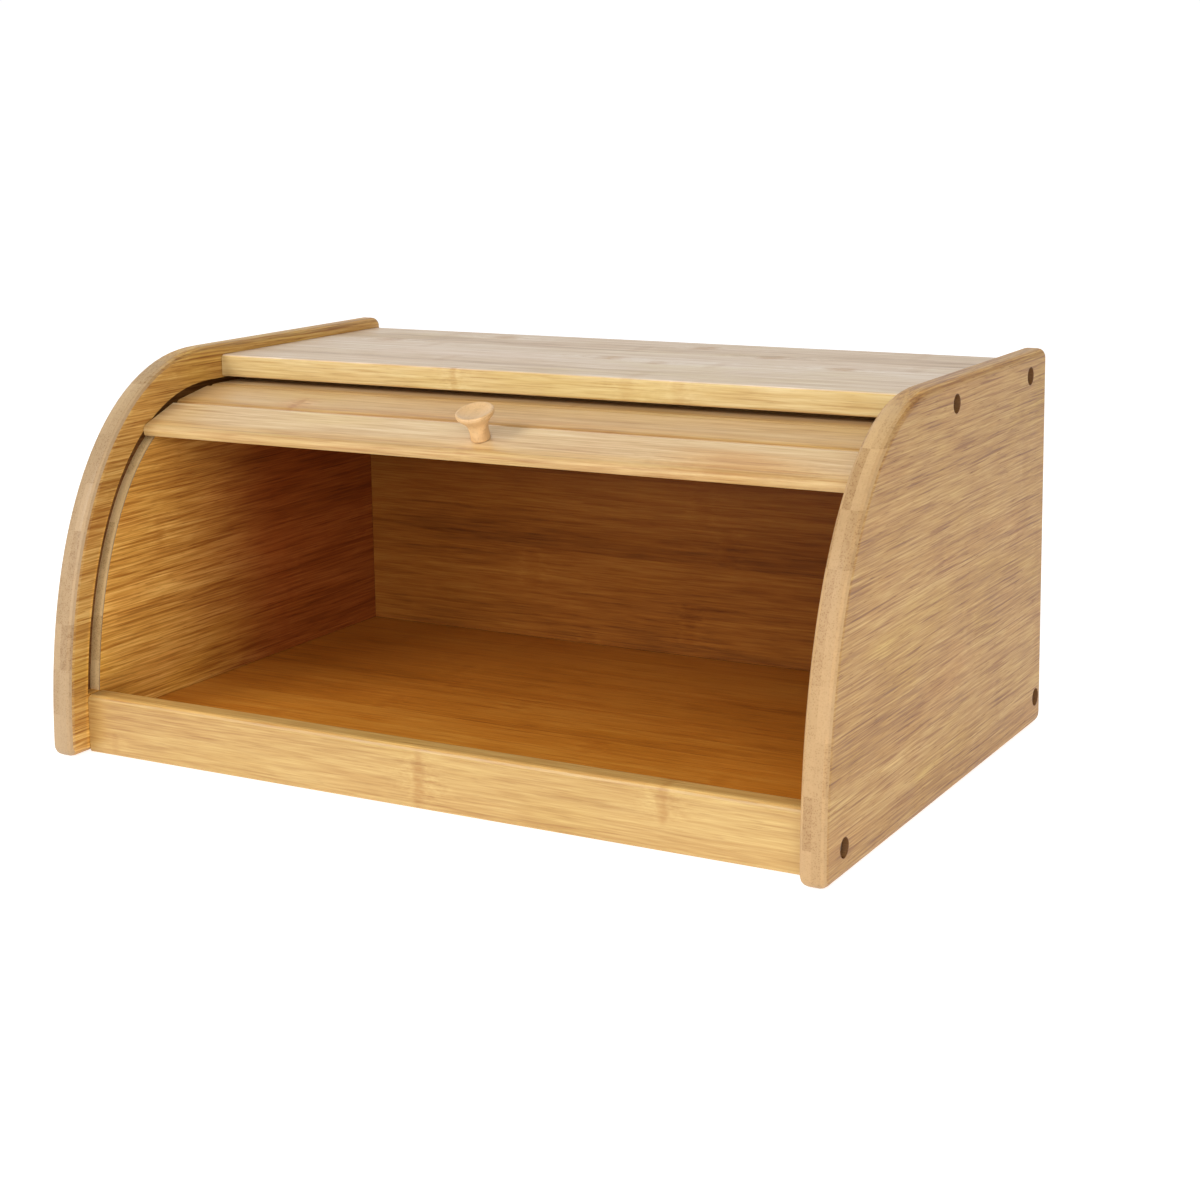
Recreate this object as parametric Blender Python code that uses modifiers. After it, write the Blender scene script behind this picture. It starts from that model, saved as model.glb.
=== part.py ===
"""Bread box with a roll top: two shaped side panels, boards between them and a slatted door that runs in grooves.

Frame: X across the box, -Y towards the opening, +Z up, metres. The origin is the middle of the footprint, on the surface it stands on.
Heights and depths below are counted from the panels' front bottom corner, and at() takes a depth to the frame.
"""

import math

import bmesh
import bpy
from mathutils import Matrix, Vector

MM = 0.001

# Overall size
WIDTH = 400.0
DEPTH = 267.0
HEIGHT = 185.0

# Side panels: a superellipse front that runs into a flat top
PANEL_T = 12.0
PANEL_REACH = 115.0
SWEEP = 2.2
PANEL_ROUND = 3.6
CORNER_R = 5.0

# Groove that the slats run in, along a smaller superellipse with the same centre
GROOVE_REACH = 102.0
GROOVE_TOP = 167.8
GROOVE_W = 8.2
GROOVE_DEEP = 6.0
GROOVE_END = 256.0

# Boards between the panels
CLEAR = 0.3
RAIL_Y0, RAIL_Y1, RAIL_TOP = 13.4, 25.4, 28.0
TOP_Y0, TOP_Y1, TOP_Z0, TOP_Z1 = 124.0, 264.0, 168.4, 179.5
BACK_Y0, BACK_Y1 = 252.0, 264.0
BASE_Z0, BASE_Z1 = 8.0, 14.0
BASE_LET_IN = 4.0
BASE_TONGUE = 3.0

# Roll door
SLATS = 7
PITCH = 26.5
SLAT_T = 5.0
SLAT_GAP = 0.3
SLAT_END_GAP = 0.5
HINGE_IN = 7.4
CANVAS_T = 0.6
CANVAS_OFF = 0.1
CANVAS_HALF = 178.0
CANVAS_SHORT = 5.0
CANVAS_EDGE = 0.25
OPEN_TAIL_Y = 246.0
LEAD_TILT = 20.7

# Fasteners
SCREW_SPOTS = ((19.4, 12.5), (258.0, 13.8), (142.0, 174.0), (242.0, 174.0))
DOWEL_SPOTS = ((19.4, 22.0), (192.0, 174.0), (258.0, 60.0), (258.0, 122.0))
BORE_R, BORE_DEEP = 4.25, 5.0
SHANK_R, SHANK_HOLE_R, SHANK_L = 1.9, 2.2, 39.0
DOWEL_R, DOWEL_HOLE_R = 3.0, 3.2
DOWEL_IN_PANEL, DOWEL_IN_BOARD = 7.0, 15.0

HALF = WIDTH / 2
INNER = HALF - PANEL_T
BOARD_HALF = INNER - CLEAR

for old in list(bpy.data.objects):
    bpy.data.objects.remove(old, do_unlink=True)

box_parts = bpy.data.collections.new("bread_box_roll_top")
cutters = bpy.data.collections.new("cutters")
bpy.context.scene.collection.children.link(box_parts)
bpy.context.scene.collection.children.link(cutters)


# ---------------------------------------------------------------- materials
def material(name, colour, roughness, metallic=0.0):
    made = bpy.data.materials.new(name)
    made.use_nodes = True
    shader = made.node_tree.nodes["Principled BSDF"]
    shader.inputs["Base Color"].default_value = (*colour, 1.0)
    shader.inputs["Roughness"].default_value = roughness
    shader.inputs["Metallic"].default_value = metallic
    made.diffuse_color = (*colour, 1.0)
    return made


PANEL_WOOD = (0.58, 0.37, 0.18)
BOARD_WOOD = (0.69, 0.56, 0.40)
RAIL_WOOD = (0.72, 0.47, 0.22)
SLAT_WOOD = (0.71, 0.53, 0.31)
BACK_WOOD = (0.50, 0.30, 0.15)
KNOB_WOOD = (0.70, 0.50, 0.30)
DOWEL_WOOD = (0.74, 0.60, 0.42)
CLOTH = (0.62, 0.57, 0.47)
STEEL = (0.56, 0.54, 0.50)


def finish(obj, colour, roughness=0.45, metallic=0.0, sharp=32.0):
    obj.data.materials.clear()
    obj.data.materials.append(material(obj.name, colour, roughness, metallic))
    obj.data.shade_smooth()
    obj.data.set_sharp_from_angle(angle=math.radians(sharp))
    return obj


# ---------------------------------------------------------------- lines
def superellipse(reach, top, count):
    """Points of a quarter superellipse about (PANEL_REACH, 0), from its foot to its top, evenly spread along it."""
    fine = [
        (
            PANEL_REACH - reach * math.cos(t) ** (2 / SWEEP),
            top * math.sin(t) ** (2 / SWEEP),
        )
        for t in (math.pi / 2 * k / 3000 for k in range(3001))
    ]
    return evenly(fine, count)


def lengths(points):
    run = [0.0]
    for (y0, z0), (y1, z1) in zip(points, points[1:]):
        run.append(run[-1] + math.hypot(y1 - y0, z1 - z0))
    return run


def along(points, run, s):
    low, high = 0, len(run) - 1
    while high - low > 1:
        mid = (low + high) // 2
        low, high = (mid, high) if run[mid] <= s else (low, mid)
    t = (s - run[low]) / (run[high] - run[low])
    (y0, z0), (y1, z1) = points[low], points[high]
    return y0 + (y1 - y0) * t, z0 + (z1 - z0) * t


def evenly(points, count):
    run = lengths(points)
    return [along(points, run, run[-1] * k / (count - 1)) for k in range(count)]


def inwards(points, by):
    """The line moved by a distance to the right of its direction, which is into the box."""
    moved = []
    for k, (y, z) in enumerate(points):
        (y0, z0), (y1, z1) = points[max(k - 1, 0)], points[min(k + 1, len(points) - 1)]
        step = math.hypot(y1 - y0, z1 - z0)
        moved.append((y + by * (z1 - z0) / step, z - by * (y1 - y0) / step))
    return moved


def groove_line(by, count, foot, end):
    """The groove's outer line moved inwards, from the height foot up and over to the depth end."""
    curve = inwards(superellipse(GROOVE_REACH, GROOVE_TOP, 900), by)
    curve = [p for p in curve if p[1] >= foot]
    curve = evenly(curve, count)
    return curve + [(end, curve[-1][1])]


def chain(line, foot_s, links, pitch):
    """Points a pitch apart, as the crow flies, along a line from the run foot_s."""
    run = lengths(line)
    at_s, found = foot_s, [along(line, run, foot_s)]
    for _ in range(links):
        low, high = at_s + 0.8 * pitch, at_s + 1.3 * pitch
        for _ in range(60):
            mid = (low + high) / 2
            y, z = along(line, run, mid)
            if math.hypot(y - found[-1][0], z - found[-1][1]) < pitch:
                low = mid
            else:
                high = mid
        at_s = low
        found.append(along(line, run, at_s))
    return found


def rounded(corners, per=5):
    """A polygon with rounded corners, from (y, z, radius) in order round it."""
    out = []
    for k, (y, z, r) in enumerate(corners):
        here = Vector((y, z))
        before = Vector(corners[k - 1][:2]) - here
        after = Vector(corners[(k + 1) % len(corners)][:2]) - here
        before.normalize()
        after.normalize()
        if r <= 0:
            out.append((y, z))
            continue
        half = before.angle(after) / 2
        centre = here + (before + after).normalized() * (r / math.sin(half))
        reach = r / math.tan(half)
        first, last = here + before * reach - centre, here + after * reach - centre
        turn = first.angle_signed(last)
        for n in range(per + 1):
            a = -turn * n / per
            c, s = math.cos(a), math.sin(a)
            out.append(
                (centre.x + first.x * c - first.y * s, centre.y + first.x * s + first.y * c)
            )
    return out


# ---------------------------------------------------------------- solids
def at(x, y, z):
    return Vector((x * MM, (y - DEPTH / 2) * MM, z * MM))


def add(name, mesh, where=None, collection=None):
    obj = bpy.data.objects.new(name, mesh)
    (collection or box_parts).objects.link(obj)
    if where is not None:
        obj.location = where
    return obj


def as_cutter(obj):
    obj.hide_render = True
    obj.display_type = "WIRE"
    return obj


def baked(obj):
    """The object's mesh with its modifiers or curve settings applied."""
    bpy.context.view_layer.update()
    graph = bpy.context.evaluated_depsgraph_get()
    return bpy.data.meshes.new_from_object(obj.evaluated_get(graph), depsgraph=graph)


# local x, y and z of an outline's curve lie along Y, Z and X
UPRIGHT = Matrix(((0, 0, 1, 0), (1, 0, 0, 0), (0, 1, 0, 0), (0, 0, 0, 1)))


def outline_mesh(name, points, half):
    """A flat outline of (y, z) points in millimetres, thickened by half to each side along X."""
    curve = bpy.data.curves.new(name + "_outline", "CURVE")
    curve.dimensions = "2D"
    curve.fill_mode = "BOTH"
    curve.extrude = half * MM
    line = curve.splines.new("POLY")
    line.points.add(len(points) - 1)
    for point, (y, z) in zip(line.points, points):
        point.co = (y * MM, z * MM, 0, 1)
    line.use_cyclic_u = True
    guide = bpy.data.objects.new(name + "_outline", curve)
    cutters.objects.link(guide)
    mesh = baked(guide)
    bpy.data.objects.remove(guide, do_unlink=True)
    work = bmesh.new()
    work.from_mesh(mesh)
    bmesh.ops.remove_doubles(work, verts=work.verts, dist=1e-6)
    bmesh.ops.dissolve_limit(
        work,
        angle_limit=math.radians(0.05),
        verts=work.verts,
        edges=work.edges,
        use_dissolve_boundaries=False,
    )
    bmesh.ops.transform(work, matrix=UPRIGHT, verts=work.verts)
    bmesh.ops.recalc_face_normals(work, faces=work.faces)
    work.to_mesh(mesh)
    work.free()
    mesh.name = name
    return mesh


def block_mesh(name, x, y, z):
    """A block between two values on each local axis, in millimetres."""
    work = bmesh.new()
    bmesh.ops.create_cube(work, size=1.0)
    size = [(b - a) * MM for a, b in (x, y, z)]
    middle = [(a + b) / 2 * MM for a, b in (x, y, z)]
    bmesh.ops.transform(
        work,
        matrix=Matrix.Translation(middle) @ Matrix.Diagonal((*size, 1.0)),
        verts=work.verts,
    )
    mesh = bpy.data.meshes.new(name)
    work.to_mesh(mesh)
    work.free()
    return mesh


def rod_mesh(name, r, low, high, sides=24):
    """A cylinder about local Z."""
    work = bmesh.new()
    bmesh.ops.create_cone(
        work,
        cap_ends=True,
        segments=sides,
        radius1=r * MM,
        radius2=r * MM,
        depth=(high - low) * MM,
        matrix=Matrix.Translation((0, 0, (high + low) / 2 * MM)),
    )
    mesh = bpy.data.meshes.new(name)
    work.to_mesh(mesh)
    work.free()
    return mesh


def turned(name, profile, steps=32):
    """A turned solid about local Z from (radius, height) points running down its outer side, axis to axis."""
    mesh = bpy.data.meshes.new(name)
    mesh.from_pydata(
        [(r * MM, 0, h * MM) for r, h in profile],
        [(k, k + 1) for k in range(len(profile) - 1)],
        [],
    )
    obj = bpy.data.objects.new(name, mesh)
    cutters.objects.link(obj)
    spin = obj.modifiers.new("turn", "SCREW")
    spin.axis = "Z"
    spin.steps = spin.render_steps = steps
    spin.use_merge_vertices = True
    spin.merge_threshold = 1e-5
    spin.use_smooth_shade = True
    made = baked(obj)
    bpy.data.objects.remove(obj, do_unlink=True)
    made.name = name
    return made


def cut(obj, cutter):
    step = obj.modifiers.new("cut_" + cutter.name, "BOOLEAN")
    step.operation = "DIFFERENCE"
    step.solver = "EXACT"
    step.object = cutter


def bevel(obj, width, segments, angle=35.0):
    step = obj.modifiers.new("rounding", "BEVEL")
    step.width = width * MM
    step.segments = segments
    step.limit_method = "ANGLE"
    step.angle_limit = math.radians(angle)
    return step


def rod_cutter(name, r, x0, x1, y, z, sides=28):
    """A cylinder along X, between two values of X."""
    cutter = add(name, rod_mesh(name, r, x0, x1, sides), at(0, y, z), cutters)
    cutter.rotation_euler = (0, math.pi / 2, 0)
    return as_cutter(cutter)


# ---------------------------------------------------------------- side panels
def panel_outline():
    front = superellipse(PANEL_REACH, HEIGHT, 40)
    foot = front[1]
    rest = rounded(
        [
            (*front[-1], 0),
            (DEPTH, HEIGHT, CORNER_R),
            (DEPTH, 0.0, CORNER_R),
            (0.02, 0.0, CORNER_R),
            (*foot, 0),
        ]
    )
    return front[1:-1] + rest[:-1]


def side_panel(name, side):
    """side is 1 for the panel at +X and -1 for the one at -X."""
    mesh = outline_mesh(name, panel_outline(), PANEL_T / 2)
    panel = add(name, mesh, at(side * (HALF - PANEL_T / 2), 0, 0))
    bevel(panel, PANEL_ROUND, 4)
    lip = 2.0

    def span(deep):
        """The two X values of a cut this deep into the inner face, with some to spare outside it."""
        a, b = side * (INNER + deep), side * (INNER - lip)
        return min(a, b), max(a, b)

    outer = groove_line(0.0, 40, RAIL_TOP + 0.2, GROOVE_END)
    inner = groove_line(GROOVE_W, 40, RAIL_TOP + 0.2, GROOVE_END)
    mouth = outline_mesh(
        name + "_groove", outer + inner[::-1], (GROOVE_DEEP + lip) / 2
    )
    low, high = span(GROOVE_DEEP)
    groove = as_cutter(add(name + "_groove", mouth, at((low + high) / 2, 0, 0), cutters))
    cut(panel, groove)

    low, high = span(BASE_LET_IN + CLEAR)
    housing = as_cutter(
        add(
            name + "_housing",
            block_mesh(
                name + "_housing",
                (low, high),
                (RAIL_Y1 - BASE_TONGUE - CLEAR, BACK_Y0 + BASE_TONGUE + CLEAR),
                (BASE_Z0 - CLEAR, BASE_Z1 + CLEAR),
            ),
            at(0, 0, 0),
            cutters,
        )
    )
    cut(panel, housing)

    for k, (y, z) in enumerate(SCREW_SPOTS):
        ends = sorted((side * (HALF - BORE_DEEP), side * (HALF + 2)))
        cut(panel, rod_cutter(f"{name}_bore_{k}", BORE_R, *ends, y, z))
        ends = sorted((side * (INNER - 2), side * (HALF - 2)))
        cut(panel, rod_cutter(f"{name}_shank_{k}", SHANK_HOLE_R, *ends, y, z))
    for k, (y, z) in enumerate(DOWEL_SPOTS):
        ends = sorted((side * (INNER - 2), side * (INNER + DOWEL_IN_PANEL + CLEAR)))
        cut(panel, rod_cutter(f"{name}_dowel_{k}", DOWEL_HOLE_R, *ends, y, z))
    return finish(panel, PANEL_WOOD, 0.42)


side_panel("side_panel_left", -1)
side_panel("side_panel_right", 1)


# ---------------------------------------------------------------- boards
def board(name, corners, half, colour, spots, groove=None, per=4):
    """A board of one cross-section along X, drilled at both ends for its screws and dowels."""
    made = add(name, outline_mesh(name, rounded(corners, per), half), at(0, 0, 0))
    if groove:
        cutter = add(
            name + "_channel",
            block_mesh(name + "_channel", (-HALF, HALF), *groove),
            at(0, 0, 0),
            cutters,
        )
        cut(made, as_cutter(cutter))
    for side in (-1, 1):
        for k, (y, z, r, deep) in enumerate(spots):
            ends = sorted((side * (half - deep), side * (half + 3)))
            cut(made, rod_cutter(f"{name}_hole_{side + 1}_{k}", r, *ends, y, z))
    return finish(made, colour, 0.45)


SCREW_DEEP = SHANK_L - (HALF - BORE_DEEP + CLEAR - BOARD_HALF) + 1.5


def screw_hole(k):
    return (*SCREW_SPOTS[k], SHANK_HOLE_R, SCREW_DEEP)


def dowel_hole(k):
    return (*DOWEL_SPOTS[k], DOWEL_HOLE_R, DOWEL_IN_BOARD + CLEAR)


board(
    "front_rail",
    [
        (RAIL_Y0, 0.0, 1.2),
        (RAIL_Y0, RAIL_TOP, 3.0),
        (RAIL_Y1, RAIL_TOP, 2.0),
        (RAIL_Y1, 0.0, 1.0),
    ],
    BOARD_HALF,
    RAIL_WOOD,
    [screw_hole(0), dowel_hole(0)],
    (
        (RAIL_Y1 - BASE_TONGUE - CLEAR, RAIL_Y1 + 3),
        (BASE_Z0 - CLEAR, BASE_Z1 + CLEAR),
    ),
)
board(
    "back_panel",
    [
        (BACK_Y0, 0.0, 1.0),
        (BACK_Y0, TOP_Z0 - CLEAR, 0.8),
        (BACK_Y1, TOP_Z0 - CLEAR, 1.2),
        (BACK_Y1, 0.0, 1.2),
    ],
    BOARD_HALF,
    BACK_WOOD,
    [screw_hole(1), dowel_hole(2), dowel_hole(3)],
    (
        (BACK_Y0 - 3, BACK_Y0 + BASE_TONGUE + CLEAR),
        (BASE_Z0 - CLEAR, BASE_Z1 + CLEAR),
    ),
)
board(
    "top_board",
    [
        (TOP_Y0, TOP_Z0, 1.4),
        (TOP_Y0, TOP_Z1, 1.8),
        (TOP_Y1, TOP_Z1, 2.4),
        (TOP_Y1, TOP_Z0, 1.4),
    ],
    BOARD_HALF,
    BOARD_WOOD,
    [screw_hole(2), screw_hole(3), dowel_hole(1)],
)
base = add(
    "base_board",
    block_mesh(
        "base_board",
        (-(INNER + BASE_LET_IN), INNER + BASE_LET_IN),
        (RAIL_Y1 - BASE_TONGUE, BACK_Y0 + BASE_TONGUE),
        (BASE_Z0, BASE_Z1),
    ),
    at(0, 0, 0),
)
bevel(base, 0.4, 1)
finish(base, BACK_WOOD, 0.5)


# ---------------------------------------------------------------- screws and dowels
HEAD_R, HEAD_T = 3.8, 2.6


def screw_mesh():
    """A pan-head wood screw, its head's seat at z = 0 and its shank running down, with a hexagon socket."""
    head = [
        (HEAD_R * math.sin(a), HEAD_T - 1.1 + 1.1 * math.cos(a))
        for a in (math.pi / 2 * k / 5 for k in range(6))
    ]
    head[0] = (0.0, HEAD_T)
    profile = head + [
        (HEAD_R, 0.0),
        (SHANK_R, 0.0),
        (SHANK_R, -SHANK_L + 4.0),
        (0.0, -SHANK_L),
    ]
    body = bpy.data.objects.new("screw_pattern", turned("screw_pattern", profile, 24))
    cutters.objects.link(body)
    socket = as_cutter(
        add("screw_socket", rod_mesh("screw_socket", 2.0, HEAD_T - 1.5, HEAD_T + 2, 6), None, cutters)
    )
    cut(body, socket)
    mesh = baked(body)
    bpy.data.objects.remove(body, do_unlink=True)
    bpy.data.objects.remove(socket, do_unlink=True)
    return mesh


side_screw = screw_mesh()
names = ("front", "back", "top_front", "top_rear")
for side, hand in ((-1, "left"), (1, "right")):
    for (y, z), spot in zip(SCREW_SPOTS, names):
        name = f"screw_{hand}_{spot}"
        screw = add(
            name, side_screw.copy(), at(side * (HALF - BORE_DEEP + CLEAR), y, z)
        )
        screw.rotation_euler = (0, side * math.pi / 2, 0)
        finish(screw, STEEL, 0.35, 1.0)

names = ("front", "top", "back_lower", "back_upper")
for side, hand in ((-1, "left"), (1, "right")):
    for (y, z), spot in zip(DOWEL_SPOTS, names):
        name = f"dowel_{hand}_{spot}"
        pin = add(
            name,
            rod_mesh(name, DOWEL_R, -DOWEL_IN_BOARD, DOWEL_IN_PANEL, 20),
            at(side * INNER, y, z),
        )
        pin.rotation_euler = (0, side * math.pi / 2, 0)
        bevel(pin, 0.6, 1, 60)
        finish(pin, DOWEL_WOOD, 0.6)


# ---------------------------------------------------------------- roll door
hinge_line = groove_line(HINGE_IN, 400, RAIL_TOP - 8.0, GROOVE_END)
hinge_run = lengths(hinge_line)


def tail_depth(foot_s):
    return chain(hinge_line, foot_s, SLATS, PITCH)[-1][0]


low_s, high_s = 60.0, 200.0
for _ in range(60):
    mid_s = (low_s + high_s) / 2
    if tail_depth(mid_s) < OPEN_TAIL_Y:
        low_s = mid_s
    else:
        high_s = mid_s
OPEN = chain(hinge_line, low_s, SLATS, PITCH)
ANGLES = [
    math.atan2(b[1] - a[1], b[0] - a[0]) for a, b in zip(OPEN, OPEN[1:])
]
# the lead slat's foot hangs from nothing, and rests against the groove's outer side
ANGLES[0] = math.radians(LEAD_TILT)

SLAT_HALF = INNER - SLAT_END_GAP
edge = SLAT_GAP / 2
SECTION = rounded(
    [
        (-PITCH + edge, 0.0, 0.8),
        (-PITCH + edge, SLAT_T, 3.0),
        (-edge, SLAT_T, 1.0),
        (-edge, 0.0, 0.5),
    ],
    4,
)

# each slat hangs on the next one's lower edge, and the last one runs straight back under the top board
slats = {}
for n in range(SLATS, 0, -1):
    name = f"slat_{n:02d}"
    slat = add(name, outline_mesh(name, SECTION, SLAT_HALF))
    if n == SLATS:
        slat.location = at(0, *OPEN[n])
        slat.rotation_euler = (ANGLES[n - 1], 0, 0)
    else:
        slat.parent = slats[n + 1]
        slat.location = (0, -PITCH * MM, 0)
        slat.rotation_euler = (ANGLES[n - 1] - ANGLES[n], 0, 0)
    slats[n] = slat
    name = f"canvas_section_{n:02d}"
    cloth = add(
        name,
        block_mesh(
            name,
            (-CANVAS_HALF, CANVAS_HALF),
            (-PITCH + (CANVAS_SHORT if n == 1 else CANVAS_EDGE), -CANVAS_EDGE),
            (-CANVAS_OFF - CANVAS_T, -CANVAS_OFF),
        ),
    )
    cloth.parent = slat
    if n == 1:
        for held, r in ((slat, 2.0), (cloth, 2.0)):
            cutter = add(
                held.name + "_hole",
                rod_mesh(held.name + "_hole", r, -4.0, SLAT_T + 3.0, 24),
                (0, -PITCH / 2 * MM, 0),
                cutters,
            )
            cutter.parent = slat
            as_cutter(cutter)
            cut(held, cutter)
    finish(slat, SLAT_WOOD, 0.42)
    finish(cloth, CLOTH, 0.9)

# Knob: a round stem under a wide head with a dished face, bored for the screw that holds it
KNOB_BORE_R, KNOB_BORE = 1.9, 9.6
profile = [
    (0.0, 12.5),
    (2.4, 12.6),
    (4.6, 12.95),
    (6.4, 13.5),
    (7.4, 13.95),
    (7.9, 14.15),
    (8.3, 14.2),
    (8.7, 14.05),
    (8.95, 13.7),
    (9.0, 13.2),
    (8.85, 12.5),
    (8.3, 11.6),
    (7.4, 10.6),
    (6.4, 9.6),
    (5.5, 8.5),
    (4.95, 7.3),
    (4.65, 6.0),
    (4.5, 4.4),
    (4.5, 2.8),
    (4.6, 1.4),
    (4.6, 0.5),
    (4.35, 0.0),
    (KNOB_BORE_R, 0.0),
    (KNOB_BORE_R, KNOB_BORE - 1.0),
    (0.0, KNOB_BORE),
]
knob = add("knob", turned("knob", profile, 32), (0, -PITCH / 2 * MM, (SLAT_T + CLEAR) * MM))
knob.parent = slats[1]
finish(knob, KNOB_WOOD, 0.4)

seat = -(CANVAS_OFF + CANVAS_T + CANVAS_OFF)
profile = [
    (0.0, 14.5),
    (1.6, 11.5),
    (1.6, 0.0),
    (3.5, 0.0),
    (3.5, -0.8),
    (2.9, -1.7),
    (1.8, -2.1),
    (0.0, -2.2),
]
pin = bpy.data.objects.new("knob_screw_pattern", turned("knob_screw_pattern", profile, 24))
cutters.objects.link(pin)
slot = as_cutter(
    add("knob_screw_slot", block_mesh("knob_screw_slot", (-0.45, 0.45), (-5, 5), (-4, -1.3)), None, cutters)
)
cut(pin, slot)
mesh = baked(pin)
bpy.data.objects.remove(pin, do_unlink=True)
bpy.data.objects.remove(slot, do_unlink=True)
knob_screw = add("knob_screw", mesh, (0, -PITCH / 2 * MM, seat * MM))
knob_screw.parent = slats[1]
finish(knob_screw, STEEL, 0.35, 1.0)

bpy.context.view_layer.update()
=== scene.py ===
import math

import bmesh
import bpy
from mathutils import Matrix, Vector


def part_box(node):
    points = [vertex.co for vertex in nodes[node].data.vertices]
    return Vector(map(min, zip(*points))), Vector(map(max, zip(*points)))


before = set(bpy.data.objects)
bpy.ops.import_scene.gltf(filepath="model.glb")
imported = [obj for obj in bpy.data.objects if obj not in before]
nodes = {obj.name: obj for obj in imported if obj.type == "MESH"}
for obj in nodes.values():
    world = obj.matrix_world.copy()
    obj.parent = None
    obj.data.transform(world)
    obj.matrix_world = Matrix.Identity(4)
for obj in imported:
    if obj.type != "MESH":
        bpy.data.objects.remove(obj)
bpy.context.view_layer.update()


# ------------------------------------------------------------------ node helper
def linear(r, g, b):
    """0-255 display colour to the linear value a shader takes."""
    out = []
    for c in (r, g, b):
        c /= 255.0
        out.append(c / 12.92 if c <= 0.04045 else ((c + 0.055) / 1.055) ** 2.4)
    return tuple(out)


class Net:
    def __init__(self, name):
        self.mat = bpy.data.materials.new(name)
        self.mat.use_nodes = True
        self.tree = self.mat.node_tree
        self.shader = self.tree.nodes["Principled BSDF"]
        self.coord = self.tree.nodes.new("ShaderNodeTexCoord")

    def put(self, socket, value):
        if isinstance(value, bpy.types.NodeSocket):
            self.tree.links.new(value, socket)
        else:
            socket.default_value = value

    def math(self, op, a, b=0.0, c=None, clamp=False):
        n = self.tree.nodes.new("ShaderNodeMath")
        n.operation = op
        n.use_clamp = clamp
        self.put(n.inputs[0], a)
        self.put(n.inputs[1], b)
        if c is not None:
            self.put(n.inputs[2], c)
        return n.outputs[0]

    def add(self, a, b):
        return self.math("ADD", a, b)

    def mul(self, a, b):
        return self.math("MULTIPLY", a, b)

    def split(self, vector):
        n = self.tree.nodes.new("ShaderNodeSeparateXYZ")
        self.put(n.inputs[0], vector)
        return n.outputs[0], n.outputs[1], n.outputs[2]

    def vec(self, x, y, z):
        n = self.tree.nodes.new("ShaderNodeCombineXYZ")
        for s, v in zip(n.inputs, (x, y, z)):
            self.put(s, v)
        return n.outputs[0]

    def noise(self, vector, detail=2.0, rough=0.5, distort=0.0):
        n = self.tree.nodes.new("ShaderNodeTexNoise")
        n.inputs["Scale"].default_value = 1.0
        n.inputs["Detail"].default_value = detail
        n.inputs["Roughness"].default_value = rough
        n.inputs["Distortion"].default_value = distort
        self.put(n.inputs["Vector"], vector)
        return n.outputs["Fac"]

    def white(self, value):
        n = self.tree.nodes.new("ShaderNodeTexWhiteNoise")
        n.noise_dimensions = "1D"
        self.put(n.inputs["W"], value)
        return n.outputs["Value"]

    def white3(self, vector):
        n = self.tree.nodes.new("ShaderNodeTexWhiteNoise")
        n.noise_dimensions = "3D"
        self.put(n.inputs["Vector"], vector)
        return n.outputs["Value"]

    def cells(self, vector, randomness=1.0):
        n = self.tree.nodes.new("ShaderNodeTexVoronoi")
        n.inputs["Scale"].default_value = 1.0
        n.inputs["Randomness"].default_value = randomness
        self.put(n.inputs["Vector"], vector)
        return n.outputs["Distance"]

    def step(self, value, low, high, to_low=0.0, to_high=1.0):
        n = self.tree.nodes.new("ShaderNodeMapRange")
        n.interpolation_type = "SMOOTHSTEP"
        self.put(n.inputs["Value"], value)
        n.inputs["From Min"].default_value = low
        n.inputs["From Max"].default_value = high
        n.inputs["To Min"].default_value = to_low
        n.inputs["To Max"].default_value = to_high
        return n.outputs["Result"]

    def ramp(self, value, stops):
        n = self.tree.nodes.new("ShaderNodeValToRGB")
        points = n.color_ramp.elements
        while len(points) < len(stops):
            points.new(0.5)
        for p, (at, colour) in zip(points, stops):
            p.position = at
            p.color = (*colour, 1.0)
        self.put(n.inputs[0], value)
        return n.outputs[0]

    def mix(self, fac, a, b, kind="MIX"):
        n = self.tree.nodes.new("ShaderNodeMix")
        n.data_type = "RGBA"
        n.blend_type = kind
        self.put(n.inputs[0], fac)
        for s, v in ((n.inputs[6], a), (n.inputs[7], b)):
            self.put(s, (*v, 1.0) if isinstance(v, tuple) else v)
        return n.outputs[2]

    def grey(self, value):
        return self.vec(value, value, value)

    def bump(self, height, strength, distance, under=None):
        n = self.tree.nodes.new("ShaderNodeBump")
        n.inputs["Strength"].default_value = strength
        n.inputs["Distance"].default_value = distance
        self.put(n.inputs["Height"], height)
        if under is not None:
            self.put(n.inputs["Normal"], under)
        return n.outputs[0]


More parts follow.
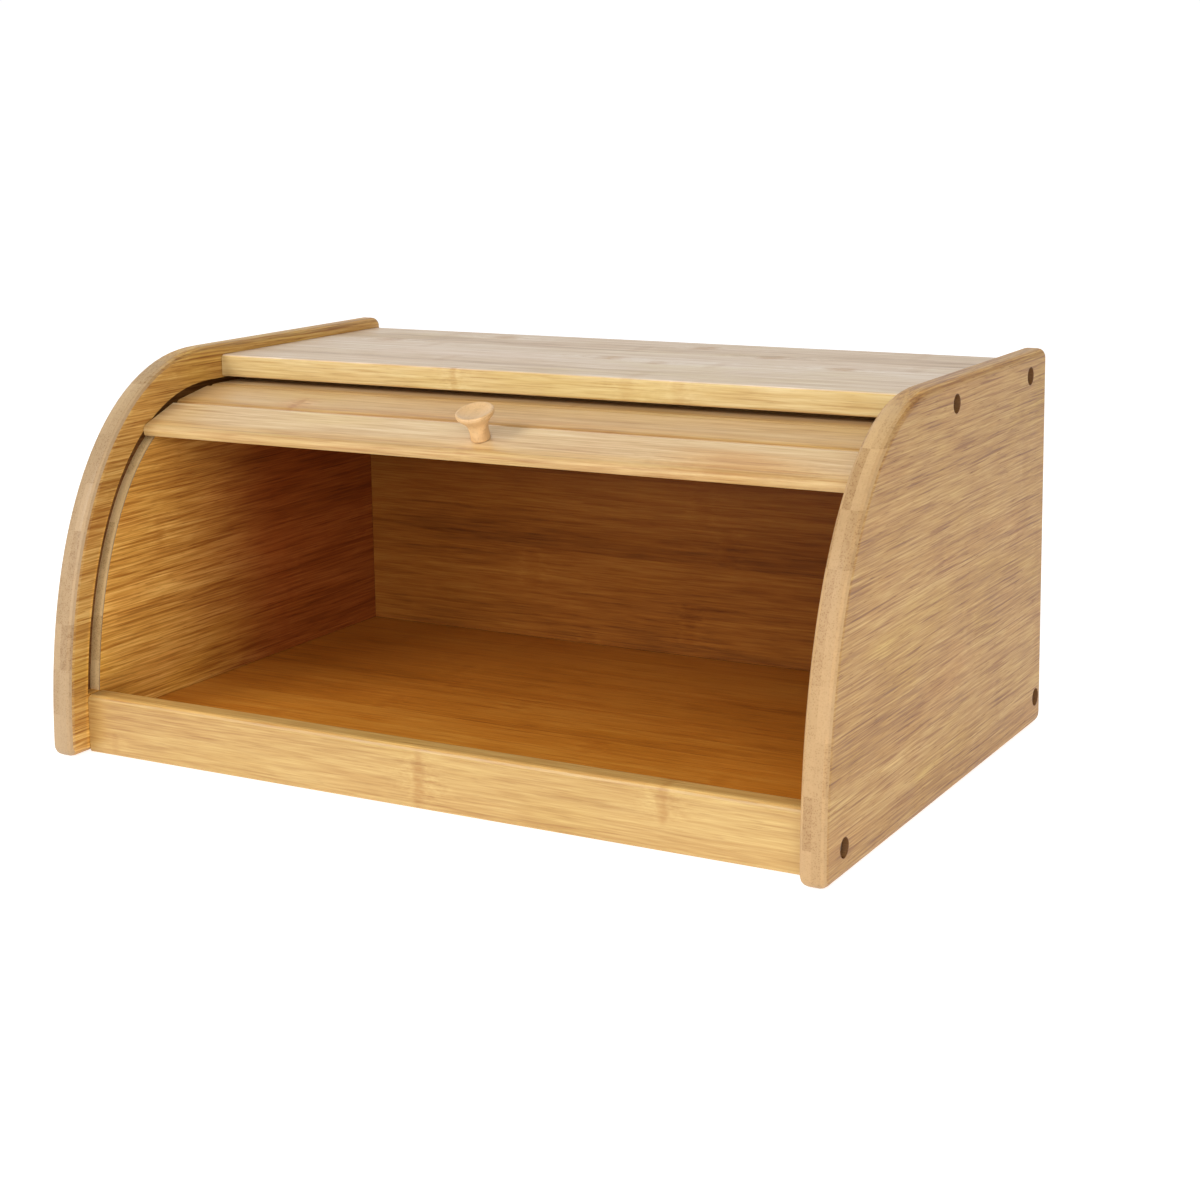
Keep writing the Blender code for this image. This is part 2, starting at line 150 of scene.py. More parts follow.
# ------------------------------------------------------------------ bamboo
def bamboo(
    name,
    grain,
    across,
    dark,
    mid,
    light,
    end,
    strip=0.020,
    ply=0.0045,
    seed=0.0,
    dashes=0.4,
    fine=1.0,
    tone_gain=0.18,
    joint=0.2,
    knuckle=0.30,
    knuckle_depth=0.4,
    rough=0.36,
    end_rough=0.6,
    edges="box",
    spots=(),
    lower=None,
    blotch=0.5,
    coat=0.25,
    along=1.0,
    middle=0.7,
    gloss=0.5,
    inside=False,
    sunk=(),
    patches=(),
    tints=(),
    shade=None,
):
    """Laminated bamboo. grain and across are axis numbers: the strips run along one and lie side by side along the
    other.

    spots are knuckles at known places, (along, across, half length, half width, depth). lower is a slat's lower edge
    and direction in the Y-Z plane with its width and the colour and share of a band of painted shade along that edge.
    inside paints light and shade onto the faces that look into the box and into the side grooves, and sunk paints shade
    into the screw recesses at those (y, z). tints and shade paint more light and shade, by the way a face looks and
    along one axis.
    """
    net = Net(name)
    here = net.split(net.coord.outputs["Object"])
    face = net.split(net.coord.outputs["Normal"])
    through = 3 - grain - across
    u, v, w = here[grain], here[across], here[through]
    # the fibres wander a little
    wander = net.noise(net.vec(net.mul(u, 7.0), net.add(net.mul(v, 22.0), seed), net.mul(w, 22.0)), 2.0)
    sway = net.mul(net.add(wander, -0.5), 0.0014)
    vf = net.add(v, sway)
    index = net.math("FLOOR", net.add(net.mul(v, 1.0 / strip), seed * 3.1 + 50.0))
    layer = net.math("FLOOR", net.add(net.mul(w, 1.0 / ply), 40.5))
    tone = net.white(net.add(index, seed + 0.37))
    tone2 = net.white(net.add(index, seed * 1.7 + 9.21))
    us = net.add(u, net.mul(tone2, 5.0))

    ragged = net.noise(net.vec(net.mul(us, 90.0), net.mul(v, 260.0), net.mul(w, 130.0)), 2.0, 0.6)
    marks = None
    zones = None
    for su, sv, lu, lv, depth in spots:
        du = net.mul(net.add(net.add(u, -su), net.mul(net.add(ragged, -0.5), lu * 1.3)), 1.0 / lu)
        dv = net.mul(net.add(v, -sv), 1.0 / lv)
        reach = net.math("SQRT", net.add(net.mul(du, du), net.mul(net.mul(dv, dv), net.mul(dv, dv))))
        mark = net.step(reach, 0.25, 1.0, depth, 0.0)
        wide = net.add(u, -su)
        wide = net.mul(wide, 1.0 / (lu * 5.5))
        zone = net.step(net.math("SQRT", net.add(net.mul(wide, wide), net.mul(net.mul(dv, dv), 0.8))), 0.2, 1.0, depth, 0.0)
        marks = mark if marks is None else net.math("MAXIMUM", marks, mark)
        zones = zone if zones is None else net.math("MAXIMUM", zones, zone)

    fibre = net.noise(net.vec(net.mul(us, 24.0 * along), net.mul(vf, 1150.0), net.mul(w, 1150.0)), 2.0, 0.6)
    streak = net.noise(net.vec(net.mul(us, 9.0 * along), net.mul(vf, 420.0), net.mul(w, 420.0)), 3.0, 0.65)
    broad = net.noise(net.vec(net.mul(us, 3.5), net.mul(vf, 95.0), net.mul(w, 95.0)), 2.0, 0.5)
    cloud = net.noise(net.vec(net.add(net.mul(u, 9.0), seed), net.mul(v, 26.0), net.mul(w, 26.0)), 2.0, 0.5)

    # knuckles at random: a short band across each strip, at its own place along it
    run = net.add(net.mul(us, 1.0 / knuckle), net.mul(tone, 7.0))
    near = net.math("ABSOLUTE", net.add(net.math("FRACT", run), -0.5))
    near = net.mul(net.add(near, net.mul(net.add(ragged, -0.5), 0.02)), knuckle)
    band = net.step(near, 0.0008, 0.0060, 1.0, 0.0)
    near_band = net.step(near, 0.004, 0.016, 1.0, 0.0)
    band = net.mul(band, knuckle_depth)
    near_band = net.mul(near_band, knuckle_depth)
    if marks is not None:
        band = net.math("MAXIMUM", band, marks)
        near_band = net.math("MAXIMUM", near_band, zones)

    value = net.add(
        0.5,
        net.add(
            net.add(net.mul(net.add(fibre, -0.5), 0.55 * fine), net.mul(net.add(streak, -0.5), 0.80 * middle)),
            net.add(
                net.add(net.mul(net.add(broad, -0.5), 0.45), net.mul(net.add(cloud, -0.5), 0.30)),
                net.mul(net.add(tone, -0.5), tone_gain),
            ),
        ),
    )
    # close to a knuckle the fibres break up into short pale and dark ticks
    ticks = net.noise(net.vec(net.mul(u, 210.0), net.mul(v, 620.0), net.mul(w, 620.0)), 2.0, 0.6)
    value = net.math("ADD", value, net.mul(net.mul(net.add(ticks, -0.46), near_band), 1.1), clamp=True)
    colour = net.ramp(value, [(0.10, dark), (0.46, mid), (0.85, light)])

    # slow changes of hue, towards yellow here and towards pink there
    hue = net.noise(net.vec(net.add(net.mul(u, 11.0), seed * 2.0), net.mul(v, 30.0), net.mul(w, 30.0)), 2.0, 0.55)
    yellow = net.step(hue, 0.50, 0.72, 0.0, blotch)
    pink = net.step(hue, 0.28, 0.50, blotch, 0.0)
    colour = net.mix(yellow, colour, net.mix(1.0, colour, (0.98, 0.98, 0.78), "MULTIPLY"))
    colour = net.mix(pink, colour, net.mix(1.0, colour, (1.0, 0.95, 0.93), "MULTIPLY"))

    # long fine lines, dark and pale
    lines = net.noise(net.vec(net.add(net.mul(us, 14.0 * along), 3.0), net.mul(vf, 720.0), net.mul(w, 720.0)), 1.0, 0.5)
    darks = net.mul(net.step(lines, 0.57, 0.66), dashes)
    pales = net.mul(net.step(lines, 0.30, 0.43, 1.0, 0.0), dashes * 0.6)
    colour = net.mix(darks, colour, net.mix(1.0, colour, (0.72, 0.60, 0.47), "MULTIPLY"))
    colour = net.mix(pales, colour, net.mix(1.0, colour, (1.14, 1.16, 1.20), "MULTIPLY"))
    # vessels cut lengthwise: very short dark flecks
    fleck = net.noise(net.vec(net.mul(us, 110.0), net.mul(vf, 2000.0), net.mul(w, 2000.0)), 1.0, 0.5)
    fleck = net.step(fleck, 0.62, 0.75)
    colour = net.mix(net.mul(fleck, dashes * 0.8), colour, net.mix(1.0, colour, (0.60, 0.48, 0.36), "MULTIPLY"))

    smudge = net.mul(band, net.step(ticks, 0.30, 0.62))
    colour = net.mix(net.mul(smudge, 0.9), colour, net.mix(1.0, colour, (0.72, 0.54, 0.34), "MULTIPLY"))

    # glue lines between strips
    edge = net.math("ABSOLUTE", net.add(net.math("FRACT", net.add(net.mul(v, 1.0 / strip), seed * 3.1 + 50.0)), -0.5))
    line = net.mul(net.step(edge, 0.5 - 0.00024 / strip, 0.5 - 0.00006 / strip), joint)
    colour = net.mix(line, colour, net.mix(1.0, colour, (0.62, 0.48, 0.34), "MULTIPLY"))

    height = net.add(net.add(net.mul(fibre, 0.5), net.mul(darks, -0.4)), net.add(net.mul(line, -2.0), net.mul(fleck, -0.6 * dashes)))
    if lower is not None:
        y0, z0, dy, dz, width, edge_shade_tint, share = lower
        t = net.mul(
            net.add(net.mul(net.add(here[1], -y0), dy), net.mul(net.add(here[2], -z0), dz)),
            1.0 / width,
        )
        t = net.add(t, net.mul(net.add(net.noise(net.vec(net.mul(u, 16.0), net.mul(v, 90.0), seed), 2.0), -0.5), 0.22))
        # painted shade: a golden band along the lower part of the slat, where its lower edge rounds over
        painted_edge_band_shade = net.step(t, share - 0.10, share + 0.08, 1.0, 0.0)
        colour = net.mix(net.mul(painted_edge_band_shade, 0.9), colour, net.mix(1.0, colour, edge_shade_tint, "MULTIPLY"))
        # painted shade on the rounding itself, damping the light it catches
        painted_rounding_shade = net.step(t, 0.02, 0.17, 1.0, 0.0)
        colour = net.mix(painted_rounding_shade, colour, net.mix(1.0, colour, (0.80, 0.80, 0.78), "MULTIPLY"))

    # end grain: dotted with vessels, in blocks of one strip by one ply
    across_end = net.math("ABSOLUTE", face[grain])
    is_end = net.step(across_end, 0.12, 0.38)
    block = net.white3(net.vec(index, layer, seed + 3.0))
    dots = net.cells(net.vec(net.mul(u, 160.0), net.mul(v, 1200.0), net.mul(w, 1200.0)))
    soft = net.noise(net.vec(net.mul(u, 60.0), net.mul(v, 420.0), net.mul(w, 420.0)), 2.0)
    end_value = net.add(
        net.add(net.mul(net.step(dots, 0.10, 0.55), 0.32), net.mul(soft, 0.45)),
        net.add(net.mul(block, 0.55), -0.14),
    )
    end_dark = tuple(c * k for c, k in zip(end, (0.66, 0.56, 0.46)))
    end_light = tuple(min(1.0, c * k) for c, k in zip(end, (1.14, 1.16, 1.22)))
    end_colour = net.ramp(end_value, [(0.08, end_dark), (0.55, end), (1.0, end_light)])
    colour = net.mix(is_end, colour, end_colour)

    # edges are rubbed paler, more in some places than in others
    ax, ay, az = (net.math("ABSOLUTE", f) for f in face)
    if edges == "box":
        flat = net.math("MAXIMUM", net.math("MAXIMUM", ax, ay), az)
    else:
        flat = net.math("MAXIMUM", ax, net.math("SQRT", net.add(net.mul(ay, ay), net.mul(az, az))))
    patchy = net.noise(net.vec(net.mul(here[0], 60.0), net.mul(here[1], 60.0), net.mul(here[2], 60.0)), 3.0, 0.6)
    if edges == "slat":
        worn = net.mul(net.step(flat, 0.80, 0.985, 1.0, 0.0), net.step(patchy, 0.30, 0.62, 0.0, 0.25))
    else:
        worn = net.mul(net.step(flat, 0.80, 0.985, 1.0, 0.0), net.step(patchy, 0.30, 0.62, 0.15, 0.75))
    colour = net.mix(worn, colour, net.mix(1.0, colour, (1.16, 1.13, 1.08), "MULTIPLY"))

    if inside:
        x_out = net.math("ABSOLUTE", here[0])
        ly = net.mul(net.math("MINIMUM", net.add(here[1], 0.0185), 0.0), -1.0 / 0.115)
        reach = net.add(
            net.math("POWER", net.math("MAXIMUM", ly, 0.0001), 2.2),
            net.math("POWER", net.math("MAXIMUM", net.mul(here[2], 1.0 / 0.185), 0.0001), 2.2),
        )
        # painted light and shade on the faces that look into the box: paler at the front, painted shade deepening
        # towards the back
        facing = net.mul(net.step(x_out, 0.18825, 0.18845, 1.0, 0.0), net.add(1.0, net.mul(is_end, -1.0)))
        deep = net.step(here[1], -0.090, 0.035)
        painted_inner_light_and_shade = net.mix(
            deep,
            net.mix(1.0, colour, (1.75, 1.72, 1.35), "MULTIPLY"),
            net.mix(1.0, colour, (0.68, 0.32, 0.18), "MULTIPLY"),
        )
        # painted light: paler again along the front and top margins of the inner faces
        painted_inner_light_and_shade = net.mix(net.step(reach, 0.77, 0.81), painted_inner_light_and_shade, net.mix(1.0, colour, (1.36, 1.38, 1.30), "MULTIPLY"))
        colour = net.mix(facing, colour, painted_inner_light_and_shade)
        # the groove: painted light on its inner wall, the wall that faces out of the box, and painted shade on the rest
        # of it
        cut = net.mul(
            net.mul(net.step(reach, 0.90, 0.91, 1.0, 0.0), net.step(here[2], 0.0270, 0.0276)),
            net.mul(net.mul(net.step(x_out, 0.18835, 0.1886), net.step(x_out, 0.1948, 0.1951, 1.0, 0.0)), net.step(here[1], 0.1240, 0.1250, 1.0, 0.0)),
        )
        outward = net.add(net.mul(face[1], net.add(here[1], 0.0185)), net.mul(face[2], here[2]))
        bright = net.mul(cut, net.step(outward, 0.0, 0.04))
        dim = net.mul(cut, net.step(outward, 0.0, 0.04, 1.0, 0.0))
        colour = net.mix(bright, colour, net.mix(1.0, colour, (1.95, 1.95, 1.70), "MULTIPLY"))
        colour = net.mix(dim, colour, net.mix(1.0, colour, (0.42, 0.32, 0.24), "MULTIPLY"))
    # painted shade in the screw recesses
    for sy, sz in sunk:
        py, pz = net.add(here[1], -sy), net.add(here[2], -sz)
        far = net.math("SQRT", net.add(net.mul(py, py), net.mul(pz, pz)))
        pit = net.mul(net.step(far, 0.00432, 0.00455, 1.0, 0.0), net.step(net.math("ABSOLUTE", here[0]), 0.1945, 0.1948))
        colour = net.mix(pit, colour, net.mix(1.0, colour, (0.40, 0.28, 0.18), "MULTIPLY"))

    for pu, pv, lu, lv, tint, depth in patches:
        qu, qv = net.mul(net.add(u, -pu), 1.0 / lu), net.mul(net.add(v, -pv), 1.0 / lv)
        reach_p = net.add(net.math("SQRT", net.add(net.mul(qu, qu), net.mul(qv, qv))), net.mul(net.add(streak, -0.5), 0.9))
        soft_p = net.step(reach_p, 0.25, 1.25, depth, 0.0)
        colour = net.mix(soft_p, colour, net.mix(1.0, colour, tint, "MULTIPLY"))
    # tints: painted light and shade by the way a face looks
    for axis, sign, tint in tints:
        ahead = net.step(net.mul(face[axis], sign), 0.55, 0.90)
        colour = net.mix(ahead, colour, net.mix(1.0, colour, tint, "MULTIPLY"))
    # shade: painted light and shade as a gradient along one axis, on every face or only on faces that look one way
    if shade is not None:
        axis, near_at, far_at, near_tint, far_tint, only = shade
        shaded = net.mix(
            net.step(here[axis], near_at, far_at),
            net.mix(1.0, colour, near_tint, "MULTIPLY"),
            net.mix(1.0, colour, far_tint, "MULTIPLY"),
        )
        if only is None:
            colour = shaded
        else:
            colour = net.mix(net.step(net.mul(face[only[0]], only[1]), 0.55, 0.90), colour, shaded)

    roughness = net.add(
        net.add(net.add(rough, net.mul(net.add(fibre, -0.5), 0.14)), net.mul(net.add(patchy, -0.5), 0.10)),
        net.add(net.mul(fleck, 0.08), net.add(net.mul(is_end, end_rough - rough), net.mul(worn, 0.10))),
    )
    height = net.add(height, net.mul(net.mul(is_end, net.step(dots, 0.0, 0.4, -1.0, 0.0)), 0.8))
    wave = net.add(net.mul(broad, 1.0), net.mul(band, 0.35))
    normal = net.bump(wave, 0.20, 0.0004)
    normal = net.bump(height, 0.35, 0.00012, normal)
    net.put(net.shader.inputs["Base Color"], colour)
    net.put(net.shader.inputs["Roughness"], roughness)
    net.put(net.shader.inputs["Normal"], normal)
    net.shader.inputs["IOR"].default_value = 1.47
    net.shader.inputs["Specular IOR Level"].default_value = gloss
    net.shader.inputs["Coat Weight"].default_value = coat
    net.shader.inputs["Coat Roughness"].default_value = 0.25
    return net.mat


X, Y, Z = 0, 1, 2


def dress(node, mat):
    obj = nodes[node]
    if not obj.material_slots:
        obj.data.materials.append(mat)
    for slot in obj.material_slots:
        slot.material = mat


def shades(dark, mid, light, end):
    return dict(dark=linear(*dark), mid=linear(*mid), light=linear(*light), end=linear(*end))


PANEL = shades((128, 82, 36), (171, 126, 64), (202, 166, 104), (168, 134, 93))
RIM = {"left": linear(162, 135, 102), "right": linear(171, 138, 97)}
RAIL = shades((145, 97, 44), (177, 139, 78), (197, 165, 103), (174, 134, 84))
TOP = shades((162, 124, 82), (200, 166, 116), (218, 192, 150), (196, 160, 104))
# the back and base colours are darker, deeper-coloured copies of the bamboo: painted shade for the inside of the box
BACK_IN_SHADE = shades((84, 38, 12), (134, 72, 24), (160, 98, 40), (150, 104, 56))
BASE_IN_SHADE = shades((132, 72, 20), (196, 124, 40), (220, 158, 70), (172, 124, 70))
SLAT = shades((176, 130, 78), (208, 172, 122), (226, 198, 154), (196, 152, 102))

screw_spots = [
    (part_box(n)[0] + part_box(n)[1]) / 2 for n in nodes if n.startswith("screw_right_")
]
for side, seed in (("left", 1.3), ("right", 4.6)):
    dress(
        "side_panel_" + side,
        bamboo(
            "bamboo_panel_" + side,
            Y,
            Z,
            **dict(PANEL, end=RIM[side]),
            strip=0.0215,
            ply=0.0040,
            seed=seed,
            dashes=1.0,
            fine=2.2,
            middle=0.36,
            gloss=0.4,
            tone_gain=0.14,
            joint=0.05,
            knuckle=0.26,
            knuckle_depth=0.30,
            rough=0.5,
            edges="panel",
            blotch=1.0,
            coat=0.1,
            along=1.35,
            # painted shade: darker towards the top; painted light: the top faces paler
            shade=(2, 0.09, 0.17, (1.0, 0.99, 0.94), (0.90, 0.88, 0.80), None),
            tints=((2, 1.0, (1.34, 1.40, 1.46)),),
            inside=True,
            sunk=tuple((spot.y, spot.z) for spot in screw_spots),
        ),
    )
dress(
    "front_rail",
    bamboo(
        "bamboo_rail",
        X,
        Z,
        **RAIL,
        strip=0.0295,
        seed=2.2,
        dashes=0.35,
        fine=1.5,
        middle=0.7,
        along=1.7,
        joint=0.05,
        tone_gain=0.08,
        knuckle=5.0,
        knuckle_depth=0.0,
        rough=0.42,
        # painted light: the top face paler
        tints=((2, 1.0, (1.30, 1.26, 1.20)),),
        spots=(
            (0.0016, 0.013, 0.0042, 0.016, 0.85),
            (0.1218, 0.021, 0.0040, 0.011, 0.75),
            (-0.172, 0.006, 0.0030, 0.007, 0.35),
        ),
        blotch=0.35,
    ),
)
dress(
    "top_board",
    bamboo(
        "bamboo_top",
        X,
        Y,
        **TOP,
        strip=0.0235,
        seed=7.9,
        dashes=0.4,
        fine=1.6,
        middle=1.0,
        along=1.6,
        # painted reflection: the top face paler and bluer; the front face a little darker and yellower
        tints=((1, -1.0, (0.94, 0.98, 0.85)), (2, 1.0, (1.10, 1.24, 1.76))),
        gloss=0.3,
        tone_gain=0.30,
        joint=0.22,
        knuckle=0.27,
        knuckle_depth=0.42,
        rough=0.46,
        spots=(
            (-0.0471, -0.0095, 0.0028, 0.006, 0.6),
            (0.0744, -0.0095, 0.0045, 0.006, 0.4),
            (-0.146, 0.081, 0.010, 0.0095, 1.0),
            (-0.093, 0.113, 0.011, 0.0090, 1.0),
            (0.003, 0.0555, 0.011, 0.0085, 1.0),
            (0.033, 0.046, 0.008, 0.0070, 0.9),
            (0.028, 0.109, 0.010, 0.0095, 1.0),
            (0.076, 0.0865, 0.011, 0.0090, 1.0),
            (0.126, 0.057, 0.012, 0.0085, 1.0),
        ),
        blotch=0.5,
        coat=0.08,
    ),
)
for name, seed in (("back_panel", 5.5), ("base_board", 3.1)):
    dress(
        name,
        bamboo(
            "bamboo_" + name,
            X,
            Z if name == "back_panel" else Y,
            **(BACK_IN_SHADE if name == "back_panel" else BASE_IN_SHADE),
            strip=0.0215,
            seed=seed,
            dashes=0.45,
            fine=1.1,
            middle=0.55,
            along=1.8,
            coat=0.0,
            gloss=0.15 if name == "back_panel" else 0.25,
            # the back's outer face and the base's underside take the painted interior shade back off
            tints=((1, 1.0, (2.39, 5.40, 16.0)),) if name == "back_panel" else ((2, -1.0, (0.90, 1.15, 1.70)),),
            # painted light and shade: the back's inner face paler low down and darker towards the top, the base's top
            # face darker towards the back
            shade=(
                (2, 0.092, 0.138, (1.34, 1.66, 1.60), (0.48, 0.36, 0.46), (1, -1.0))
                if name == "back_panel"
                else (1, -0.09, 0.09, (1.02, 0.97, 0.80), (0.70, 0.60, 0.52), (2, 1.0))
            ),
            joint=0.16,
            tone_gain=0.18,
            knuckle=0.24,
            knuckle_depth=0.35,
            rough=0.5,
        ),
    )

slat_names = sorted(n for n in nodes if n.startswith("slat_"))
# tint of the painted shade band along each slat's lower edge
SLAT_EDGE_SHADE = (0.98, 0.90, 0.70)
CAST = {0: (1.03, 1.10, 1.18), 1: (0.94, 0.91, 0.83)}
for k, name in enumerate(slat_names):
    lift = (0.0, 0.0, -0.04, 0.01, -0.02, 0.02, 0.0, -0.01, 0.02)[k % 9]
    corners = [nodes[name].matrix_world @ p.co for p in nodes[name].data.vertices]
    first = min(corners, key=lambda p: p.y)
    last = max(corners, key=lambda p: p.y)
    length = math.hypot(last.y - first.y, last.z - first.z)
    patches = {
        0: (
            (0.128, first.y + 0.009, 0.045, 0.0100, (0.96, 0.80, 0.58), 0.9),
            (-0.06, first.y + 0.016, 0.060, 0.0060, (1.03, 1.05, 1.10), 0.7),
        ),
        1: ((-0.118, first.y + 0.008, 0.012, 0.009, (0.94, 0.80, 0.72), 0.8), (0.02, first.y + 0.006, 0.09, 0.004, (0.97, 0.86, 0.70), 0.7)),
    }
    marks = {
        0: ((0.1307, first.y + 0.006, 0.022, 0.010, 0.35), (-0.005, first.y + 0.002, 0.004, 0.003, 0.25)),
        1: ((-0.1184, first.y + 0.008, 0.0032, 0.009, 1.0), (-0.03, first.y + 0.012, 0.003, 0.006, 0.3)),
    }.get(k, ((-0.12 + 0.047 * (k * 5 % 7), first.y + 0.012, 0.003, 0.012, 0.6),))
    dress(
        name,
        bamboo(
            "bamboo_" + name,
            X,
            Y,
            **{
                shade: tuple(c * (1 + lift) * m for c, m in zip(SLAT[shade], CAST.get(k, (1.0, 1.0, 1.0))))
                for shade in ("dark", "mid", "light")
            },
            end=SLAT["end"],
            strip=0.5,
            seed=1.0 + 2.37 * k,
            dashes=0.25,
            fine=1.4,
            middle=0.9,
            along=1.5,
            joint=0.0,
            coat=0.12,
            patches=patches.get(k, ()),
            knuckle=5.0,
            knuckle_depth=0.0,
            rough=0.38,
            edges="slat",
            spots=marks,
            lower=(
                first.y,
                first.z,
                (last.y - first.y) / length,
                (last.z - first.z) / length,
                length,
                SLAT_EDGE_SHADE,
                0.28,
            ),
            blotch=0.5,
        ),
    )
dress(
    "knob",
    bamboo(
        "turned_knob",
        Z,
        Y,
        **shades((168, 124, 78), (200, 160, 110), (218, 184, 138), (202, 164, 114)),
        strip=0.5,
        seed=6.1,
        dashes=0.12,
        fine=0.5,
        joint=0.0,
        knuckle=5.0,
        knuckle_depth=0.0,
        rough=0.36,
        end_rough=0.42,
        edges="panel",
    ),
)
pale = bamboo(
    "raw_dowel",
    X,
    Y,
    **shades((190, 150, 100), (214, 180, 132), (230, 204, 160), (206, 168, 122)),
    strip=0.5,
    seed=8.8,
    dashes=0.2,
    joint=0.0,
    knuckle=5.0,
    knuckle_depth=0.0,
    rough=0.6,
    coat=0.0,
)
for name in nodes:
    if name.startswith("dowel_"):
        dress(name, pale)


def canvas():
    net = Net("canvas_backing")
    x, y, z = net.split(net.coord.outputs["Object"])
    pitch = 1500.0
    warp = net.math("SINE", net.mul(x, pitch * 2 * math.pi / 2))
    weft = net.math("SINE", net.mul(net.add(y, z), pitch * 2 * math.pi / 2))
    weave = net.mul(warp, weft)
    slub = net.noise(net.vec(net.mul(x, 90.0), net.mul(y, 700.0), net.mul(z, 700.0)), 2.0)
    dirt = net.noise(net.vec(net.mul(x, 12.0), net.mul(y, 12.0), net.mul(z, 12.0)), 3.0)
    value = net.add(net.add(net.mul(weave, 0.22), net.mul(slub, 0.45)), net.add(net.mul(dirt, 0.4), 0.05))
    colour = net.ramp(value, [(0.1, linear(150, 138, 112)), (0.5, linear(190, 178, 150)), (0.95, linear(216, 206, 182))])
    net.put(net.shader.inputs["Base Color"], colour)
    net.shader.inputs["Roughness"].default_value = 0.92
    net.shader.inputs["Sheen Weight"].default_value = 0.25
    net.shader.inputs["Sheen Roughness"].default_value = 0.5
    net.put(net.shader.inputs["Normal"], net.bump(net.add(weave, net.mul(slub, 0.8)), 0.5, 0.00018))
    return net.mat


cloth = canvas()
for name in nodes:
    if name.startswith("canvas_section_"):
        dress(name, cloth)


def zinc():
    net = Net("zinc_screw")
    x, y, z = net.split(net.coord.outputs["Object"])
    spots = net.noise(net.vec(net.mul(x, 900.0), net.mul(y, 900.0), net.mul(z, 900.0)), 3.0, 0.6)
    blot = net.noise(net.vec(net.mul(x, 260.0), net.mul(y, 260.0), net.mul(z, 260.0)), 2.0)
    colour = net.ramp(net.add(net.mul(spots, 0.5), net.mul(blot, 0.5)), [(0.25, linear(120, 112, 100)), (0.5, linear(168, 162, 150)), (0.8, linear(200, 196, 186))])
    net.put(net.shader.inputs["Base Color"], colour)
    net.shader.inputs["Metallic"].default_value = 1.0
    net.put(net.shader.inputs["Roughness"], net.add(0.28, net.mul(blot, 0.25)))
    net.put(net.shader.inputs["Normal"], net.bump(spots, 0.25, 0.00008))
    return net.mat


steel = zinc()
for name in nodes:
    if name.startswith("screw_") or name == "knob_screw":
        dress(name, steel)


# ------------------------------------------------------------------ stage
def floor_mat():
    net = Net("studio_floor")
    x, y, z = net.split(net.coord.outputs["Object"])
    mottle = net.noise(net.vec(net.mul(x, 3.0), net.mul(y, 3.0), 0.0), 3.0)
    net.put(net.shader.inputs["Base Color"], net.ramp(mottle, [(0.3, (0.60, 0.60, 0.60)), (0.7, (0.63, 0.63, 0.63))]))
    net.shader.inputs["Roughness"].default_value = 0.8
    net.shader.inputs["Specular IOR Level"].default_value = 0.1
    net.shader.inputs["Emission Color"].default_value = (1.0, 1.0, 1.0, 1.0)
    net.shader.inputs["Emission Strength"].default_value = 0.76
    return net.mat


work = bmesh.new()
bmesh.ops.create_grid(work, x_segments=1, y_segments=1, size=40.0)
mesh = bpy.data.meshes.new("floor")
work.to_mesh(mesh)
work.free()
floor = bpy.data.objects.new("floor", mesh)
floor.location = (0, 0, -0.0004)
floor.data.materials.append(floor_mat())
bpy.context.scene.collection.objects.link(floor)

# the studio: brightest behind the box, dimmer on the side the light panels stand on
world = bpy.data.worlds.new("studio")
bpy.context.scene.world = world
world.use_nodes = True
tree = world.node_tree
background = tree.nodes["Background"]
background.inputs[0].default_value = (1.0, 1.0, 1.0, 1.0)
way = tree.nodes.new("ShaderNodeTexCoord")
toward = tree.nodes.new("ShaderNodeVectorMath")
toward.operation = "DOT_PRODUCT"
toward.inputs[1].default_value = (-0.485, 0.874, 0.0)
tree.links.new(way.outputs["Generated"], toward.inputs[0])
glow = tree.nodes.new("ShaderNodeMapRange")
glow.interpolation_type = "SMOOTHSTEP"
glow.inputs["From Min"].default_value = 0.35
glow.inputs["From Max"].default_value = 0.85
glow.inputs["To Min"].default_value = 0.42
glow.inputs["To Max"].default_value = 1.02
tree.links.new(toward.outputs["Value"], glow.inputs["Value"])
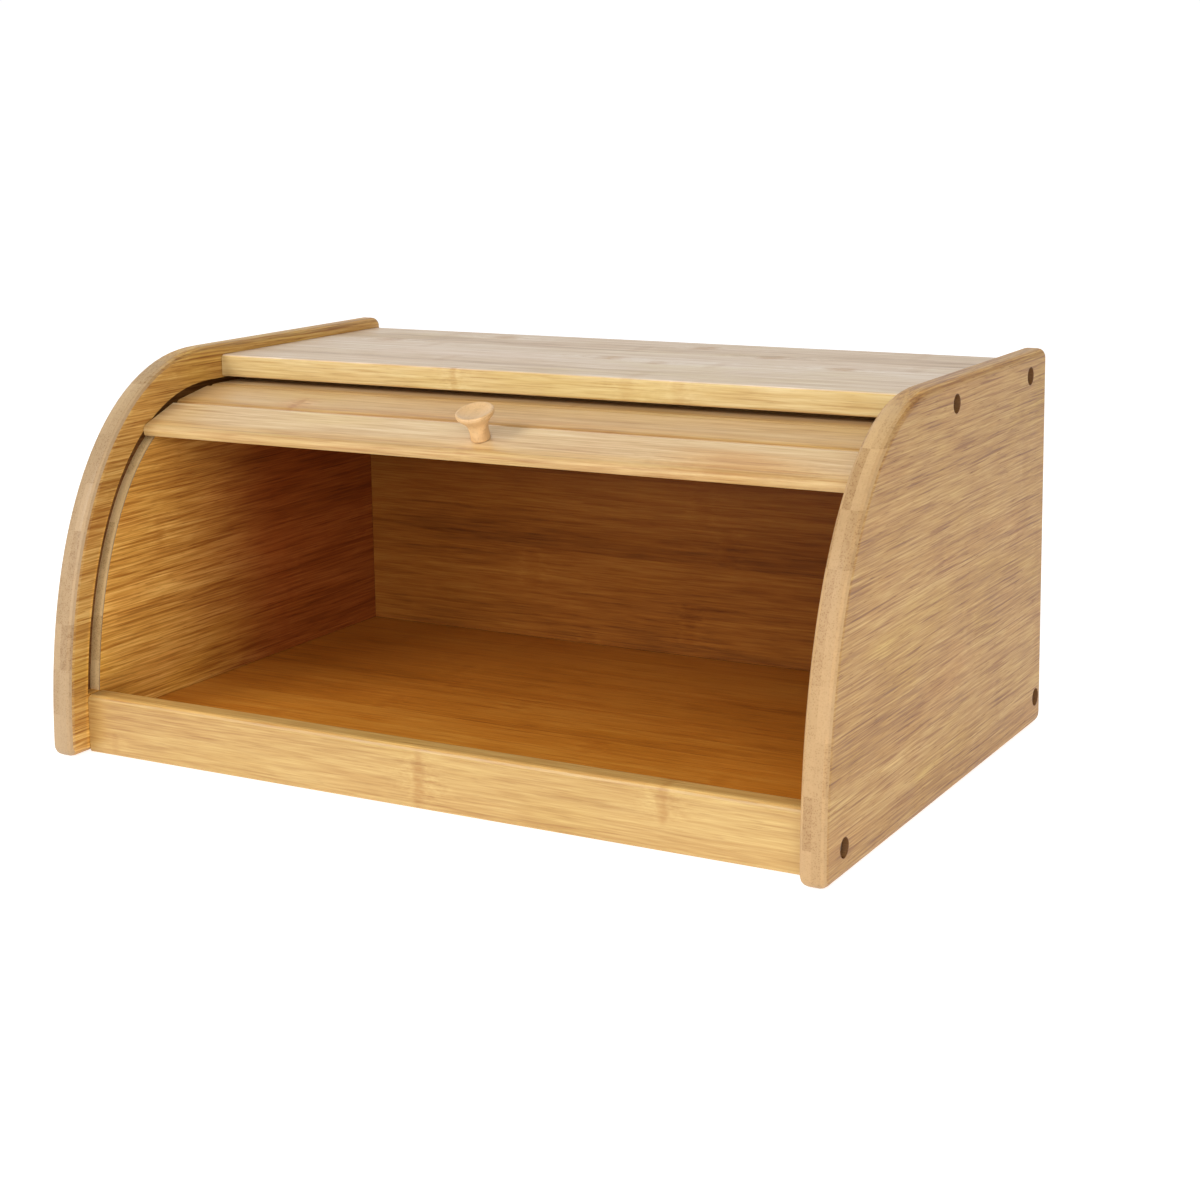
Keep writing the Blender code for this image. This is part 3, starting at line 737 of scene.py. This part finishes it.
tree.links.new(glow.outputs["Result"], background.inputs[1])


def area(name, where, target, size, power, colour=(1, 1, 1)):
    lamp = bpy.data.lights.new(name, "AREA")
    lamp.shape = "RECTANGLE"
    lamp.size, lamp.size_y = size
    lamp.energy = power
    lamp.color = colour
    obj = bpy.data.objects.new(name, lamp)
    obj.location = where
    obj.rotation_euler = (Vector(target) - Vector(where)).to_track_quat("-Z", "Y").to_euler()
    bpy.context.scene.collection.objects.link(obj)
    return obj


area("key", (-0.95, -1.55, 1.15), (0, -0.02, 0.1), (0.9, 0.75), 22.0, (1.0, 0.99, 0.97))
area("front", (0.85, -1.7, 0.85), (-0.05, 0.0, 0.08), (1.3, 1.0), 18.5)
area("fill", (1.7, -0.9, 0.5), (0, 0, 0.1), (1.4, 1.0), 4.5)

# ------------------------------------------------------------------ camera
# worked out in a frame whose depth starts at the panels' front edge
HALF_DEPTH = 0.1335
yaw, pitch, roll = (math.radians(a) for a in (29.295, 9.483, -0.813))
right = Vector((math.cos(yaw), math.sin(yaw), 0))
level = Vector((-math.sin(yaw), math.cos(yaw), 0))
forward = level * math.cos(pitch) - Vector((0, 0, 1)) * math.sin(pitch)
up = Vector((0, 0, 1)) * math.cos(pitch) + level * math.sin(pitch)
side = right * math.cos(roll) + up * math.sin(roll)
top = -right * math.sin(roll) + up * math.cos(roll)
camera = bpy.data.objects.new("camera", bpy.data.cameras.new("camera"))
bpy.context.scene.collection.objects.link(camera)
camera.matrix_world = Matrix.Translation(
    Vector((0.523262, -0.750141 - HALF_DEPTH, 0.309722))
) @ Matrix((side, top, -forward)).transposed().to_4x4()
camera.data.sensor_width = 36.0
camera.data.lens = 2188.93 / 1200 * 36.0
camera.data.shift_y = -0.12
camera.data.clip_start = 0.01
camera.data.clip_end = 50
bpy.context.scene.camera = camera

bpy.context.scene.view_settings.view_transform = "Standard"
bpy.context.scene.view_settings.look = "None"
bpy.context.scene.view_settings.exposure = 0.0
bpy.context.scene.view_settings.gamma = 1.0
